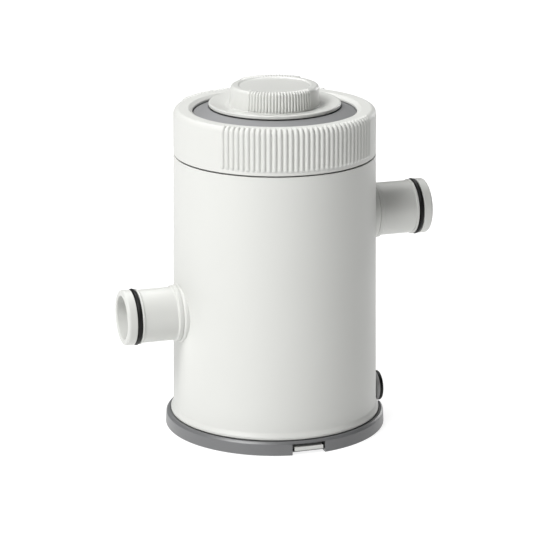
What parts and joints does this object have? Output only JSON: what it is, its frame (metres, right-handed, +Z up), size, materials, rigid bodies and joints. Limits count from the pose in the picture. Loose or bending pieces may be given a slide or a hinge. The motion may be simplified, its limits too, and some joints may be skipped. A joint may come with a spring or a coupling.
{
  "type": "cartridge filter pump",
  "caption": "Small upright electric filter pump: tapered round body, screwed ribbed collar, air-release knob, two offset hose ports, grey base ring.",
  "frame": {"origin": "on the floor under the middle of the round body", "axes": "+Z up along the body's axis, -Y the front, +X the side of the upper hose port, -X the side of the lower one"},
  "size_m": [0.192, 0.133, 0.2109],
  "materials": {
    "white_plastic": "off-white moulded plastic, satin gloss",
    "grey_plastic": "mid grey moulded plastic, satin",
    "black_rubber": "black rubber",
    "black_plastic": "black moulded plastic",
    "filter_paper": "white pleated filter paper",
    "blue_soft_cap": "soft cast end cap",
    "inner_plastic": "plain moulded plastic inside the pump",
    "ferrite": "grey-black ferrite",
    "hard_ceramic": "ground ceramic",
    "core_steel": "stacked laminations",
    "steel": "zinc-plated steel",
    "copper": "enamelled copper wire",
    "brass": "turned brass"
  },
  "bodies": {
    "pump_body": {"housing": "white_plastic", "outlet_port": "white_plastic", "inlet_port": "white_plastic", "outlet_o_ring": "black_rubber", "inlet_o_ring": "black_rubber", "base_ring": "grey_plastic", "bottom_cover": "white_plastic", "bottom_cover_screws": "steel", "cartridge_bottom_cap": "blue_soft_cap", "cartridge_top_cap": "blue_soft_cap", "cartridge_core": "inner_plastic", "cartridge_media": "filter_paper", "pump_chamber": "inner_plastic", "chamber_seal": "black_rubber", "chamber_screws": "steel", "rotor_shaft": "hard_ceramic", "lower_bush": "black_rubber", "upper_bush": "black_rubber", "thrust_washers": "hard_ceramic", "stator_core": "core_steel", "coil_bobbins": "inner_plastic", "coil_windings": "copper", "stator_straps": "steel", "strap_screws": "steel", "terminal_block": "black_plastic", "terminal_clamps": "brass", "terminal_screw": "steel", "coil_leads": "black_plastic", "cord_gland": "black_plastic", "gland_grommet": "black_rubber", "gland_locknut": "black_plastic"},
    "cover": {"top_cover": "grey_plastic", "cover_seal": "black_rubber"},
    "collar": {"lid_ring": "white_plastic"},
    "valve": {"valve_washer": "black_rubber"},
    "knob": {"air_release_knob": "white_plastic"},
    "rotor": {"impeller": "inner_plastic", "rotor_magnet": "ferrite"}
  },
  "joints": [
    {"name": "cap_rise", "type": "slide", "parent": "pump_body", "child": "cover", "axis": [0, 0, 1], "range_m": [0, 0.03601]},
    {"name": "collar_turn", "type": "hinge", "parent": "cover", "child": "collar", "pos_m": [0, 0, 0.18], "axis": [0, 0, 1], "range_deg": [0, 720]},
    {"name": "knob_rise", "type": "slide", "parent": "cover", "child": "valve", "axis": [0, 0, 1], "range_m": [0, 0.00501]},
    {"name": "knob_turn", "type": "hinge", "parent": "valve", "child": "knob", "pos_m": [0, 0, 0.2], "axis": [0, 0, 1], "range_deg": [0, 450]},
    {"name": "rotor_spin", "type": "hinge", "parent": "pump_body", "child": "rotor", "pos_m": [0, 0, 0.05], "axis": [0, 0, 1], "continuous": true}
  ],
  "couplings": [
    {"joint": "cap_rise", "follows": "collar_turn", "m_per_rad": 0.0028648},
    {"joint": "knob_rise", "follows": "knob_turn", "m_per_rad": 0.00063662}
  ]
}
